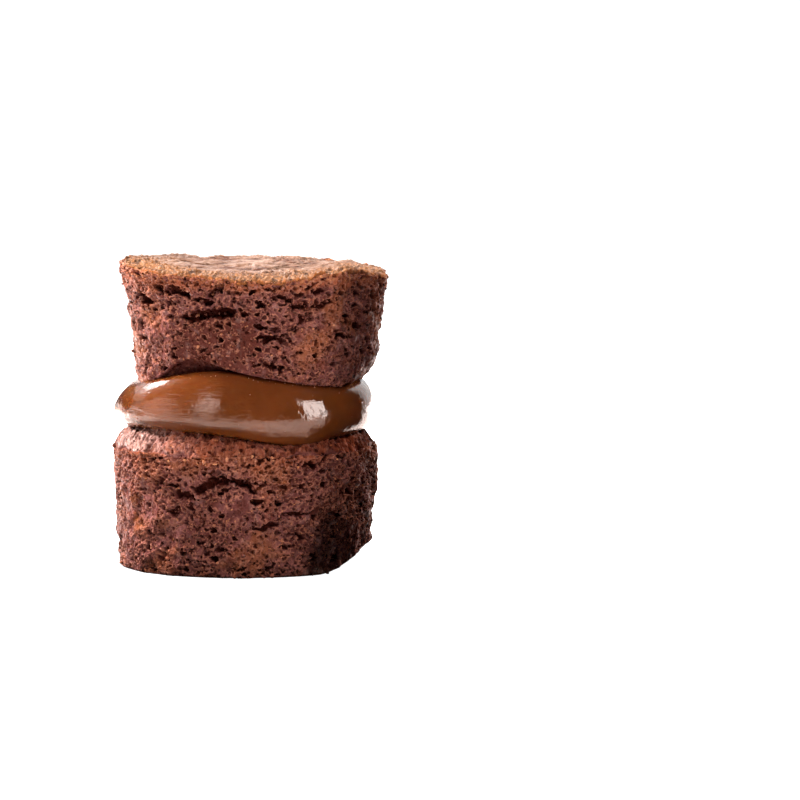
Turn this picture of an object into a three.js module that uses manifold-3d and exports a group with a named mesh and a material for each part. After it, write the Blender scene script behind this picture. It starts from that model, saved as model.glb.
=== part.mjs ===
// A brownie alfajor: two thick rounds of chocolate brownie with a band of soft caramel squeezed between them.
// Millimetres, +Z up. The origin is on the flat of the base, and -Y is the front.
// A bearing is an angle in degrees round the axis, counted from the front towards +X.
import * as THREE from "three";
import { mergeVertices } from "three/addons/utils/BufferGeometryUtils.js";
import Module from "manifold-3d";

const wasm = await Module();
wasm.setup();

// The sandwich as a whole.
const facets = 60; // round each body
const touchGap = 0.3; // between the caramel and the brownies that it touches
const crumbSeed = 11;

// The lower round: its base, the rim of its crust, and the low dome inside the rim.
const lowerShift = -0.4; // of its axis to the left
const lowerFootRadius = 23.1;
const lowerRimRadius = 24.6;
const lowerRimHeight = 22.9;
const lowerDomeHeight = 25.7;
const lowerSwell = { bearing: -42, spread: 55, size: 1.2 }; // where the dome stands higher
const lowerDip = { bearing: 26, spread: 24, size: 1.7 }; // and lower, under the caramel's sag
const lowerShoulderWidth = 3.4; // from the rim in to the flat of the dome
const lowerLip = { bearing: 91, spread: 8, size: 0.7 }; // a flake that stands out of the rim
const lowerWear = { start: 14.2, rate: 0.112, power: 1.74 }; // the right side of the base, worn away

// The upper round, which lies a little to the right of the lower one.
const upperShift = 1.5;
const upperFootRadius = 21.9;
const upperRimRadius = 25.1;
const upperRimFlare = 0.7; // the share of that which only the last few millimetres have
const upperBaseHeight = 34.6;
const upperRimHeight = 55.8;
const upperRimFall = 0.85; // how much lower the rim is at the right than in the middle
const upperRimNod = 0.5; // and at the front
const upperRimHump = { bearing: 46, spread: 20, size: 1.5 };
const upperBackHump = { bearing: 142, spread: 34, size: 0.9 };
const upperDome = 0.5;
const upperBelly = 1.8; // how far the right side swells, and the left side hollows
const upperWornEdge = { bearing: 92, spread: 42, size: 4.4 };
const upperScoop = { bearing: -32, spread: 18, size: 3.2 }; // the hollow broken out of the base's edge

// The caramel, which rises under the upper round at the front and sags over the lower one's rim.
const caramelRadius = 24.2;
const caramelWaist = 29.6; // the height at which it bulges most
const caramelLowerContact = 19.9;
const caramelUpperContact = 19.9;
const caramelRise = { bearing: -13, spread: 37, size: 3.1 };
const caramelBackRise = { bearing: 150, spread: 42, size: 1.6 };
const caramelSag = { bearing: 22, spread: 28 };
const caramelSagContact = 0.6; // how much further out the sag leaves the lower round
const caramelSagBulge = 0.8; // and bulges
const caramelSagDrop = 0.7;
const caramelTip = { bearing: -90, spread: 7, size: 0.8 };
const caramelTaper = { bearing: -85, spread: 60, size: 0.3 }; // where its edge is sharper
const caramelBlunt = { bearing: 92, spread: 40, size: 0.3 }; // and blunter
const caramelOverlap = 1.2; // how far the uncut caramel reaches into each round
const caramelRows = 11;

// A broken crumb's relief: depth in millimetres, and the size of its lumps.
const crag = { depth: 0.5, lump: 3.7 };
const crustWave = { depth: 0.5, lump: 6.0 };

// Cavities that stand out in each wall: bearing, height, half width, half height and depth.
const upperCavities = [
  { bearing: -59, height: 49.8, wide: 1.7, tall: 0.9, deep: 1.6 },
  { bearing: -33, height: 52.9, wide: 1.9, tall: 0.9, deep: 1.1 },
  { bearing: -23, height: 48.6, wide: 2.3, tall: 0.9, deep: 1.7 },
  { bearing: -13, height: 48.9, wide: 2.3, tall: 0.8, deep: 1.9 },
  { bearing: 9, height: 44.4, wide: 2.4, tall: 0.7, deep: 1.5 },
  { bearing: 22, height: 50.3, wide: 2.0, tall: 0.7, deep: 1.2 },
  { bearing: 34, height: 50.4, wide: 2.2, tall: 0.7, deep: 1.2 },
  { bearing: 67, height: 51.4, wide: 1.6, tall: 1.1, deep: 1.4 },
];
const lowerCavities = [
  { bearing: -15, height: 16.6, wide: 2.6, tall: 0.8, deep: 1.6 },
  { bearing: -6, height: 17.9, wide: 2.2, tall: 0.8, deep: 1.8 },
  { bearing: 2, height: 16.6, wide: 1.8, tall: 1.0, deep: 1.6 },
  { bearing: -27, height: 14.4, wide: 2.2, tall: 0.8, deep: 1.3 },
  { bearing: -52, height: 9.6, wide: 0.9, tall: 0.8, deep: 1.3 },
  { bearing: 33, height: 20.5, wide: 1.1, tall: 0.9, deep: 1.5 },
  { bearing: 10, height: 9.0, wide: 1.8, tall: 0.8, deep: 1.2 },
  { bearing: 26, height: 11.6, wide: 2.8, tall: 0.6, deep: 1.1 },
];
const scatteredCavities = 24; // more in each wall, spread evenly by a rule

const { clamp, degToRad, euclideanModulo, lerp, radToDeg, smoothstep } = THREE.MathUtils;

// A bell of height size at its own bearing, dying away past its spread.
function bell(bearing, { bearing: centre, spread, size }) {
  const away = euclideanModulo(bearing - centre + 180, 360) - 180;
  return size * Math.exp(-((away / spread) ** 2));
}

// A ripple that goes round a whole number of times.
function ripple(bearing, times, size, turn) {
  return size * Math.cos(degToRad(times * bearing + turn));
}

// A number from 0 to 1 that belongs to a point of a whole-numbered grid.
function chance(i, j, k) {
  const wild = Math.sin(i * 127.1 + j * 311.7 + k * 74.7 + crumbSeed) * 43758.5453;
  return wild - Math.floor(wild);
}

// Smooth lumps between -1 and 1, about one unit across.
function lumps(x, y, z) {
  const [i, j, k] = [Math.floor(x), Math.floor(y), Math.floor(z)];
  const [u, v, w] = [x - i, y - j, z - k].map((t) => t * t * (3 - 2 * t));
  const edge = (b, c) => lerp(chance(i, b, c), chance(i + 1, b, c), u);
  const face = (c) => lerp(edge(j, c), edge(j + 1, c), v);
  return 2 * lerp(face(k), face(k + 1), w) - 1;
}

// Two sizes of lump added up, as a push in or out of a surface.
function relief(x, y, z, { depth, lump }) {
  const coarse = lumps(x / lump, y / lump, z / lump);
  const fine = lumps((2.3 * x) / lump, (2.3 * y) / lump, (2.3 * z) / lump);
  return depth * (coarse + 0.6 * fine);
}

// A closed body built of rings, from a point on the axis at the bottom to one at the top.
// Each ring gives its radius and height at a bearing, and how far its relief pushes out and up.
function ringedBody(rings) {
  const last = rings.length - 1;
  const spine = rings.map((_, n) => new THREE.Vector2(n % last ? 1 : 0, n));
  const geometry = new THREE.LatheGeometry(spine, facets).rotateX(Math.PI / 2);
  const position = geometry.getAttribute("position");
  for (let v = 0; v < position.count; v++) {
    const angle = Math.atan2(position.getX(v), -position.getY(v));
    const ring = rings[Math.round(position.getZ(v))];
    const { radius, height, rough, out = 0, up = 0 } = ring(radToDeg(angle));
    const [x, y] = [radius * Math.sin(angle), -radius * Math.cos(angle)];
    const push = rough ? relief(x, y, height, rough) : 0;
    const grown = radius + push * out;
    position.setXYZ(v, grown * Math.sin(angle), -grown * Math.cos(angle), height + push * up);
  }
  return geometry;
}

// A geometry as a solid that can be cut, and back.
function toSolid(geometry) {
  const bare = new THREE.BufferGeometry().setAttribute("position", geometry.getAttribute("position"));
  if (geometry.index) bare.setIndex(geometry.index);
  const merged = mergeVertices(bare, 1e-3);
  return new wasm.Manifold(
    new wasm.Mesh({
      numProp: 3,
      vertProperties: new Float32Array(merged.getAttribute("position").array),
      triVerts: new Uint32Array(merged.index.array),
    }),
  );
}

function toGeometry(solid) {
  const mesh = solid.getMesh();
  const geometry = new THREE.BufferGeometry();
  geometry.setAttribute("position", new THREE.BufferAttribute(mesh.vertProperties, 3));
  geometry.setIndex(new THREE.BufferAttribute(mesh.triVerts, 1));
  return geometry;
}

// A wall's cavities: the ones that stand out, and more spread over it by two steps that never line up.
function wallCavities(named, low, high) {
  const [roundStep, climbStep] = [0.7549, 0.5698];
  const scattered = Array.from({ length: scatteredCavities }, (_, n) => ({
    bearing: 360 * ((n * roundStep) % 1),
    height: lerp(low, high, (0.5 + n * climbStep) % 1),
    wide: lerp(0.8, 1.7, chance(n, 1, 5)),
    tall: lerp(0.55, 0.85, chance(n, 2, 5)),
    deep: lerp(0.7, 1.2, chance(n, 3, 5)),
  }));
  // A scattered cavity that would run into a named one is skipped.
  const clear = (a) =>
    named.every((b) => {
      const round = degToRad(euclideanModulo(a.bearing - b.bearing + 180, 360) - 180) * lowerRimRadius;
      return Math.hypot(round, a.height - b.height) > a.wide + b.wide + 0.8;
    });
  return [...named, ...scattered.filter(clear)];
}

// Cuts each cavity out of a body as a low ellipsoid, half sunk in the wall.
function cutCavities(body, cavities, wallRadius) {
  const bubble = new THREE.IcosahedronGeometry(1, 1);
  let solid = toSolid(body);
  for (const { bearing, height, wide, tall, deep } of cavities) {
    const angle = degToRad(bearing);
    const radius = wallRadius(bearing, height);
    const shape = bubble
      .clone()
      .scale(wide, deep, tall)
      .rotateZ(angle)
      .translate(radius * Math.sin(angle), -radius * Math.cos(angle), height);
    solid = solid.subtract(toSolid(shape));
  }
  return toGeometry(solid);
}

// The corner between a base and its wall, rounded by size: n runs from 0 on the base to 1 on the wall.
function roundedCorner(footRadius, footHeight, size, n) {
  const turn = (n * Math.PI) / 2;
  return {
    radius: footRadius - size * (1 - Math.sin(turn)),
    height: footHeight + size * (1 - Math.cos(turn)),
  };
}

// Lower round: the height of its worn base, the wall, and the crust on top.
function lowerBase(radius, bearing) {
  const past = Math.max(0, radius * Math.sin(degToRad(bearing)) - lowerWear.start);
  return lowerWear.rate * past ** lowerWear.power;
}

function lowerRim(bearing) {
  return lowerRimRadius + ripple(bearing, 3, 0.18, 40) + ripple(bearing, 7, 0.12, 0) + bell(bearing, lowerLip);
}

function lowerWallRadius(bearing, height) {
  const climbed = clamp(height / lowerRimHeight, 0, 1);
  return lerp(lowerFootRadius, lowerRim(bearing), climbed ** 0.8);
}

// The crust at a radius: nearly flat in the middle, and steep at the shoulder.
function lowerTop(radius, bearing) {
  const inner = lowerRimRadius - lowerShoulderWidth;
  const drop = Math.max(0, (radius - inner) / lowerShoulderWidth);
  const swell = bell(bearing, lowerSwell) - bell(bearing, lowerDip);
  const edgeOnly = smoothstep(radius, 5, inner) * (1 - Math.min(1, drop));
  return lerp(lowerDomeHeight, lowerRimHeight, Math.min(1, drop) ** 1.8) + swell * edgeOnly;
}

function lowerRounds() {
  const corner = 0.6;
  const onBase = (radius) => (bearing) => ({ radius, height: lowerBase(radius, bearing) });
  const base = [0, 13, 17.5, 20.5].map(onBase);
  const turn = [0, 0.5, 1].map(
    (n) => (bearing) => roundedCorner(lowerFootRadius, lowerBase(lowerFootRadius, bearing), corner, n),
  );
  const rows = 10;
  const wall = Array.from({ length: rows }, (_, n) => (bearing) => {
    const low = lowerBase(lowerFootRadius, bearing) + corner;
    const height = lerp(low, lowerRimHeight, (n + 1) / rows);
    return { radius: lowerWallRadius(bearing, height), height, rough: crag, out: 1 };
  });
  const crust = [24, 23, 22, 20.8].map((radius) => (bearing) => ({
    radius: radius + 0.5 * bell(bearing, lowerLip),
    height: lowerTop(radius, bearing),
    rough: crustWave,
    up: smoothstep(radius, 20, 23) * 0.8,
  }));
  const dome = [15.5, 8, 0].map((radius) => (bearing) => ({ radius, height: lowerTop(radius, bearing) }));
  return [...base, ...turn, ...wall, ...crust, ...dome];
}

// Upper round. Its underside rises at the front and back, where the caramel fills it.
function underside(radius, bearing) {
  const rise = bell(bearing, caramelRise) + bell(bearing, caramelBackRise);
  return upperBaseHeight + rise * smoothstep(radius, 12, caramelUpperContact);
}

function upperFootHeight(bearing) {
  return underside(upperFootRadius, bearing) + bell(bearing, upperScoop);
}

function upperCorner(bearing) {
  return 0.5 + bell(bearing, upperWornEdge);
}

function upperRim(bearing) {
  return upperRimRadius + ripple(bearing, 4, 0.15, 70) + ripple(bearing, 9, 0.1, 0);
}

function upperRimAt(bearing) {
  const tilt = ripple(bearing, 1, upperRimFall, -90) + ripple(bearing, 1, upperRimNod, 0);
  return upperRimHeight - tilt + bell(bearing, upperRimHump) + bell(bearing, upperBackHump);
}

function upperWallRadius(bearing, height) {
  const climbed = clamp((height - upperBaseHeight) / (upperRimHeight - upperBaseHeight), 0, 1);
  const bulge = upperBelly * Math.sin(degToRad(bearing)) * climbed * (1 - climbed);
  const straight = lerp(upperFootRadius, upperRim(bearing) - upperRimFlare, climbed);
  return straight + bulge + upperRimFlare * climbed ** 6;
}

function upperRounds() {
  const base = [0, 11, 15.5].map((radius) => (bearing) => ({ radius, height: underside(radius, bearing) }));
  const ledge = (bearing) => {
    const radius = Math.min(caramelUpperContact - 0.5, upperFootRadius - upperCorner(bearing) - 0.8);
    return { radius, height: underside(radius, bearing) };
  };
  const corner = [0, 0.5, 1].map(
    (n) => (bearing) => roundedCorner(upperFootRadius, upperFootHeight(bearing), upperCorner(bearing), n),
  );
  const rows = 9;
  const wall = Array.from({ length: rows }, (_, n) => (bearing) => {
    const low = upperFootHeight(bearing) + upperCorner(bearing);
    const height = lerp(low, upperRimAt(bearing), (n + 1) / rows);
    return { radius: upperWallRadius(bearing, height), height, rough: crag, out: 1 };
  });
  const crust = [0.96, 0.85, 0.7, 0.5, 0.27, 0].map((share) => (bearing) => ({
    radius: share * upperRim(bearing),
    height: lerp(upperRimHeight, upperRimAt(bearing), share ** 2) + upperDome * (1 - share ** 4),
    rough: share > 0 ? crustWave : undefined,
    up: share > 0.9 ? 0.6 : 1,
  }));
  return [...base, ledge, ...corner, ...wall, ...crust];
}

// Caramel: a bulging disc that reaches into both rounds, and is then cut back to their faces.
function caramelWidest(bearing) {
  const sagging = bell(bearing, { ...caramelSag, size: caramelSagBulge });
  return caramelRadius + ripple(bearing, 2, 0.25, 50) + ripple(bearing, 5, 0.15, 0) + sagging;
}

function caramelWaistAt(bearing) {
  return caramelWaist + ripple(bearing, 1, 0.6, -90) - bell(bearing, { ...caramelSag, size: caramelSagDrop });
}

function caramelRounds() {
  const bulge = Array.from({ length: caramelRows }, (_, n) => (bearing) => {
    const turn = lerp(-Math.PI / 2, Math.PI / 2, n / (caramelRows - 1));
    const low = caramelLowerContact + bell(bearing, { ...caramelSag, size: caramelSagContact });
    const inner = turn < 0 ? low : caramelUpperContact;
    const floor = lowerTop(low, bearing) - caramelOverlap;
    const ceiling = underside(caramelUpperContact, bearing) + caramelOverlap;
    const waist = caramelWaistAt(bearing);
    const reach = turn < 0 ? waist - floor : ceiling - waist;
    const fullness = Math.cos(turn) ** (1 + bell(bearing, caramelTaper) - bell(bearing, caramelBlunt));
    const tip = bell(bearing, caramelTip) * Math.cos(turn) ** 6;
    return {
      radius: lerp(inner, caramelWidest(bearing), fullness) + tip,
      height: waist + reach * Math.sin(turn),
    };
  });
  const foot = () => ({ radius: 0, height: lowerDomeHeight - caramelOverlap });
  const head = () => ({ radius: 0, height: upperBaseHeight + caramelOverlap });
  return [foot, ...bulge, head];
}

// A round grown by the gap outwards, and by the same gap up or down, as a cutter in its place.
function clearOf(round, shift, rise) {
  const wider = 1 + touchGap / upperFootRadius;
  return toSolid(round.clone().scale(wider, wider, 1).translate(shift, 0, rise));
}

function named(name, geometry, material) {
  const mesh = new THREE.Mesh(geometry, material);
  mesh.name = name;
  return mesh;
}

const crumb = new THREE.MeshStandardMaterial({ color: 0x5e3831, roughness: 0.9, metalness: 0 });
const caramel = new THREE.MeshStandardMaterial({ color: 0x7c3f1c, roughness: 0.2, metalness: 0 });

const lowerRound = ringedBody(lowerRounds());
const upperRound = ringedBody(upperRounds());
const caramelDisc = toSolid(ringedBody(caramelRounds()))
  .subtract(clearOf(lowerRound, lowerShift, touchGap))
  .subtract(clearOf(upperRound, upperShift, -touchGap));
const lowerHoles = wallCavities(lowerCavities, 5.5, lowerRimHeight - 2.5);
const upperHoles = wallCavities(upperCavities, upperBaseHeight + 6.5, upperRimHeight - 3.5);

const lowerMesh = named("brownie_lower", cutCavities(lowerRound, lowerHoles, lowerWallRadius), crumb);
const upperMesh = named("brownie_upper", cutCavities(upperRound, upperHoles, upperWallRadius), crumb);
lowerMesh.position.x = lowerShift;
upperMesh.position.x = upperShift;

const alfajor = new THREE.Group();
alfajor.add(lowerMesh, named("caramel_filling", toGeometry(caramelDisc), caramel), upperMesh);

export default alfajor;
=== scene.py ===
# A brownie alfajor on a white table: two rounds of chocolate brownie with soft caramel between them.
# Shapes are worked out in millimetres and put into the meshes in metres.
# A bearing is counted in degrees from the front (-Y) towards +X.
import math
import bpy
import numpy as np
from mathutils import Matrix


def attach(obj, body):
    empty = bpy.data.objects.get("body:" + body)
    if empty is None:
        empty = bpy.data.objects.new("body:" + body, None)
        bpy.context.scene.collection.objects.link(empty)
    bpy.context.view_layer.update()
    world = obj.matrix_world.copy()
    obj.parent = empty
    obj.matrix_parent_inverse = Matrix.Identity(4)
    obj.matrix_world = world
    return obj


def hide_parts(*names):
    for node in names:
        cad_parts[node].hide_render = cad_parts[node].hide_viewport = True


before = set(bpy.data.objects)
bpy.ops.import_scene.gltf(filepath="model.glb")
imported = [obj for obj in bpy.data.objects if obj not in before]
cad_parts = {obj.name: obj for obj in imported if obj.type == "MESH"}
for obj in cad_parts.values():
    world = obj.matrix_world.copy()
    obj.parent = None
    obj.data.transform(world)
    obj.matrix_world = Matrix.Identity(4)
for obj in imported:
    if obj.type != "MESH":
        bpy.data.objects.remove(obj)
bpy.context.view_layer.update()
mm = 0.001

gridSteps = (127.1, 311.7, 74.7)  # these three and the next two scramble the numbers of a grid
gridStart = 11
gridScale = 43758.5453
octaveShift = 17.3  # keeps the octaves of a cloud from lining up


def smooth(x, low, high):  # 0 below low, 1 above high, and an S between them
    t = np.clip((x - low) / (high - low), 0, 1)
    return t * t * (3 - 2 * t)


def mix(a, b, t):  # a at 0, b at 1, and a straight line between
    return a + (b - a) * t


def turnFrom(bearing, centre):  # degrees round from a centre, from -180 to 180
    return (bearing - centre + 180) % 360 - 180


def bell(bearing, shape):  # size times e to the minus (angle away / width) squared
    centre, width, size = shape
    return size * np.exp(-((turnFrom(bearing, centre) / width) ** 2))


def rippled(bearing, start, waves):  # a start plus size times the cosine of count bearings and a turn
    for count, size, turn in waves:
        start = start + size * np.cos(np.radians(count * bearing + turn))
    return start


def around(radius, bearing, height):  # cylinder coordinates to x, y, z
    angle = np.radians(bearing)
    radius, angle, height = np.broadcast_arrays(radius, angle, height)
    return np.stack([radius * np.sin(angle), -radius * np.cos(angle), height], axis=-1)


def chance(i, j, k):  # a number from 0 to 1 that belongs to a point of a whole-numbered grid
    a, b, c = gridSteps
    wild = np.sin(i * a + j * b + k * c + gridStart) * gridScale
    return wild - np.floor(wild)


def lumps(points):  # the grid's numbers blended smoothly between its points, from -1 to 1
    whole = np.floor(points)
    i, j, k = np.moveaxis(whole, -1, 0)
    u, v, w = np.moveaxis((points - whole) ** 2 * (3 - 2 * (points - whole)), -1, 0)

    def edge(b, c):
        return mix(chance(i, b, c), chance(i + 1, b, c), u)

    def face(c):
        return mix(edge(j, c), edge(j + 1, c), v)

    return 2 * mix(face(k), face(k + 1), w) - 1


def relief(points, depth, lump, finer=2.3, share=0.6):  # a broken crumb's lumps, and a share of finer ones
    return depth * (lumps(points / lump) + share * lumps(finer * points / lump))


def clouds(points, size, octaves, shift=0.0):  # lumps added up, each octave half the size and strength
    total = np.zeros(points.shape[:-1])
    for octave in range(octaves):
        total += lumps(points / size * 2**octave + octaveShift * octave + shift) * 0.5**octave
    return total


def ridges(points, size, octaves, shift=0.0):  # one minus twice the size of clouds, so creases stand up sharp
    return 1 - 2 * np.abs(clouds(points, size, octaves, shift))


def layered(points, layers, start=0.0):  # a start and clouds, each with its depth, size, octaves and shift
    for depth, *shape in layers:
        start = start + depth * clouds(points, *shape)
    return start


bubbleShape = {"smallness": 1.4, "sunk": (-0.1, 0.6), "lipAt": 1.2, "lipWidth": 0.16}
slitPower = 0.45
neighbours = [(aside, above) for aside in (-1, 0, 1) for above in (-1, 0, 1)]


def bubbles(u, v, length, cell, radii, squash, share, crowd, seed):
    # A wall rolled out flat, cut by one bubble in each cell of a chequered sheet that wraps round in u.
    # A bubble is a flattened ball, and the cut runs to its far side where its near side is open to the air.
    # The lip is e to the minus (way from just outside the mouth / width) squared.
    columns = max(3, round(length / cell))
    width = length / columns
    lowest = math.floor(v.min() / cell) - 2
    rows = math.ceil(v.max() / cell) + 3 - lowest
    draw = np.random.default_rng(seed).random((rows, columns, 5))
    centreV = (np.arange(rows)[:, None] + lowest + draw[..., 1]) * cell
    centreU = (np.arange(columns)[None, :] + draw[..., 0]) * width
    reach = mix(*radii, draw[..., 2] ** bubbleShape["smallness"])
    there = draw[..., 3] < share * crowd(centreU, centreV)
    sunk = mix(*bubbleShape["sunk"], draw[..., 4]) * reach
    column = np.floor(u / width).astype(int)
    row = np.floor(v / cell).astype(int) - lowest
    depth = np.zeros(np.broadcast(u, v).shape)
    lip = depth.copy()
    for aside, above in neighbours:
        c = (column + aside) % columns
        r = np.clip(row + above, 0, rows - 1)
        across = (u - centreU[r, c] + length / 2) % length - length / 2
        q = (across**2 + ((v - centreV[r, c]) / squash) ** 2) / reach[r, c] ** 2
        half = reach[r, c] * np.sqrt(np.clip(1 - q, 0, 1))
        cut = np.where((q < 1) & there[r, c] & (sunk[r, c] < half), sunk[r, c] + half, 0)
        mouth = np.sqrt(q / (1 - (sunk[r, c] / reach[r, c]) ** 2))
        off = (mouth - bubbleShape["lipAt"]) * reach[r, c] / bubbleShape["lipWidth"]
        depth = np.maximum(depth, cut)
        lip = np.maximum(lip, there[r, c] * np.exp(-(off**2)))
    return depth, lip


def slits(bearing, height, radius, wobbleU, wobbleV, places):
    # Cracks that stand out, each a slanting ellipse: depth times (1 minus way out squared) to a power.
    # The two wobbles make their ends ragged.
    depth = np.zeros(np.broadcast(bearing, height).shape)
    for centre, level, wide, tall, deep, slant in places:
        away = turnFrom(bearing, centre) * math.pi / 180 * radius + wobbleU
        rise = height - level + wobbleV - slant * away
        q = (away / wide) ** 2 + (rise / tall) ** 2
        depth = np.maximum(depth, deep * np.clip(1 - q, 0, 1) ** slitPower)
    return depth


def cracks(points, size, seed, sheet=60):
    # Distance to the nearest border between cells grown round scattered points in the plane.
    span = 2 * math.ceil(sheet / size)
    draw = np.random.default_rng(seed).random((span, span, 2))
    x, y = points[..., 0] / size, points[..., 1] / size
    column, row = np.floor(x).astype(int), np.floor(y).astype(int)
    near = np.full(x.shape, np.inf)
    second = near.copy()
    for aside, above in neighbours:
        jitter = draw[(column + aside) % span, (row + above) % span]
        reach = np.hypot(column + aside + jitter[..., 0] - x, row + above + jitter[..., 1] - y)
        second = np.minimum(second, np.maximum(near, reach))
        near = np.minimum(near, reach)
    return (second - near) * size


def turnedSkin(name, points, facts, material, solid):
    # Rings of points, from a point on the axis at the bottom to one at the top, joined into one closed mesh.
    rows, columns = points.shape[:2]
    rings = points[1:-1].reshape(-1, 3)
    corners = np.vstack([points[:1, :1].reshape(1, 3), rings, points[-1:, :1].reshape(1, 3)])
    index = 1 + np.arange((rows - 2) * columns).reshape(rows - 2, columns)
    ahead = np.roll(index, -1, axis=1)
    quads = np.stack([index[:-1], ahead[:-1], ahead[1:], index[1:]], axis=-1).reshape(-1, 4)
    foot = np.stack([np.zeros_like(index[0]), ahead[0], index[0]], axis=-1)
    head = np.stack([np.full_like(index[0], len(corners) - 1), index[-1], ahead[-1]], axis=-1)
    faces = foot.tolist() + quads.tolist() + head.tolist()
    flat = {
        label: np.concatenate([values[0, :1], values[1:-1].ravel(), values[-1, :1]])
        for label, values in facts.items()
    }
    dressed(name, corners, faces, flat, material, solid)


def newMesh(name, corners, faces, material):
    mesh = bpy.data.meshes.new(name)
    mesh.from_pydata(corners, [], faces)
    mesh.materials.append(material)
    return mesh


def placed(name, data, place=(0, 0, 0), turn=(0, 0, 0), **seen):  # an object in the scene, and who sees it
    made = bpy.data.objects.new(name, data)
    made.location, made.rotation_euler = place, turn
    for way, visible in seen.items():
        setattr(made, way, visible)
    bpy.context.scene.collection.objects.link(made)
    return made


def dressed(name, corners, faces, facts, material, solid):
    # A piece in place of its solid. A fact is one number for each point, for the material to read.
    mesh = newMesh(name, (corners * mm).tolist(), faces, material)
    for label, values in facts.items():
        mesh.attributes.new(label, "FLOAT", "POINT").data.foreach_set("value", values.astype(np.float32))
    mesh.shade_smooth()
    piece = placed(name, mesh)
    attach(piece, "root")
    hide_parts(solid)
    print(name, "has", len(mesh.polygons), "faces")


def newMaterial(name):  # a material and its shader
    material = bpy.data.materials.new(name)
    material.use_nodes = True
    return material, material.node_tree.nodes["Principled BSDF"]


def feed(socket, value):  # an input takes another node's output or a plain value
    if isinstance(value, bpy.types.NodeSocket):
        socket.id_data.links.new(value, socket)
    else:
        socket.default_value = value


def node(near, kind, *values, **settings):
    # A new node in the tree of a node or socket. Its own settings and inputs go by name, and the values
    # fill its first inputs in turn.
    made = near.id_data.nodes.new(kind)
    for key, value in settings.items():
        if key in made.inputs:
            feed(made.inputs[key], value)
        else:
            setattr(made, key, value)
    for socket, value in zip(made.inputs, values):
        feed(socket, value)
    return made


def setShader(shader, settings):  # each input by its name, as a value or another node's output
    for key, value in settings.items():
        feed(shader.inputs[key], value)


def ownPlace(near):  # coordinates that stay with the piece
    return node(near, "ShaderNodeTexCoord").outputs["Object"]


def noise(place, size, detail=4.0, roughness=0.55, distortion=0.0):  # size in millimetres
    settings = {"Scale": 1 / (size * mm), "Detail": detail, "Roughness": roughness, "Distortion": distortion}
    return node(place, "ShaderNodeTexNoise", place, **settings).outputs["Fac"]


def spread(value, low, high, toLow=0.0, toHigh=1.0):  # an S from one pair of values to another
    values = (value, low, high, toLow, toHigh)
    return node(value, "ShaderNodeMapRange", *values, interpolation_type="SMOOTHSTEP").outputs["Result"]


def blend(share, first, second, slots, **settings):  # the second's share over the first
    *places, result = slots
    made = node(share, "ShaderNodeMix", share, **settings)
    for place, value in zip(places, (first, second)):
        feed(made.inputs[place], value)
    return made.outputs[result]


def blendColour(share, first, second, mode="MIX"):  # the same for two colours
    return blend(share, first, second, (6, 7, 2), data_type="RGBA", blend_type=mode)


def seenBy(ray, otherwise, then):  # one strength for a kind of ray, and another for the rest
    return blend(ray, otherwise, then, (2, 3, 0))


def toned(colour, look, layers):  # tones laid over a colour in turn, each where its mask is up
    for mask, edges, name in layers:
        share = spread(mask, *edges) if edges else mask
        colour = blendColour(share, colour, look[name])
    return colour


def times(first, second):  # an output times a number or another output
    return node(first, "ShaderNodeMath", first, second, operation="MULTIPLY").outputs[0]


def plus(value, other, share):  # a value and a share of another
    return node(value, "ShaderNodeMath", other, share, value, operation="MULTIPLY_ADD").outputs[0]


def vectorMath(operation, first, *others):  # both results, as Vector and Value
    return node(first, "ShaderNodeVectorMath", first, *others, operation=operation).outputs


def fact(near, label):  # a piece's own number at a point, or nothing where it has none of that label
    return node(near, "ShaderNodeAttribute", attribute_name=label).outputs["Fac"]


def bumps(shader, heights, depths):  # layers of height, each with its depth in millimetres
    normal = None
    for height, depth in zip(heights, depths):
        made = node(shader, "ShaderNodeBump", Height=height, Strength=1.0, Distance=depth * mm)
        if normal:
            feed(made.inputs["Normal"], normal)
        normal = made.outputs["Normal"]
    feed(shader.inputs["Normal"], normal)


def cells(place, size, low, high, uneven=0.4):
    # Hollows round scattered points: 0 in a hollow and 1 between them. Each cell's own draw sets its width.
    made = node(place, "ShaderNodeTexVoronoi", place, Scale=1 / (size * mm))
    drawn = node(made, "ShaderNodeSeparateColor", made.outputs["Color"]).outputs["Red"]
    return spread(plus(made.outputs["Distance"], drawn, uneven), low, high)


def wobbled(place, size, amount):  # coordinates pushed about by a noise, both in millimetres
    made = node(place, "ShaderNodeTexNoise", place, Scale=1 / (size * mm), Detail=2.0)
    return vectorMath("MULTIPLY_ADD", made.outputs["Color"], (amount * mm,) * 3, place)["Vector"]


def tone(red, green, blue):  # a screen colour out of 255 as the light it stands for
    def channel(value):
        value /= 255
        return value / 12.92 if value <= 0.04045 else ((value + 0.055) / 1.055) ** 2.4

    return (channel(red), channel(green), channel(blue), 1.0)


warmMirror = (1, 0.88, 0.81, 1)  # the tint of what crumb and crust reflect

# Some of these tones stand for light and shade: the lip and shine tones are painted highlights, the hollow
# tone is painted shade, the multiplying tone lays painted shade over the rest, and the dark tone is partly
# painted shade in hollows and creases.
crumbLook = {
    "dark": tone(70, 30, 20),
    "mid": tone(102, 56, 51),
    "pale": tone(126, 77, 73),
    "lip": tone(160, 99, 78),
    "warm": tone(138, 72, 48),
    "tan": tone(128, 70, 43),
    "mauve": tone(86, 46, 44),
    "golden": tone(172, 110, 74),
    "speck": tone(204, 128, 84),
    "paintedHighlight": tone(176, 136, 126),
    "pitShade": tone(44, 11, 6),
    "paintedShade": (0.52, 0.4, 0.34, 1),
    "lumpSize": 0.85, "fineSize": 0.32, "patchSize": 4.0,
    "zoneSize": 6.5, "zoneShare": 0.2,
    "speckSize": 0.7, "gleamSize": 1.6, "wobble": (0.9, 0.7),
    # cell size, where a hollow's edge begins and ends
    "holes": (1.15, 0.27, 0.4),
    "pores": (0.6, 0.26, 0.46),
    "bowls": (1.15, 0.05, 0.5),
    "bumps": (0.09, 0.2, 0.6, 0.52),
}


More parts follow.
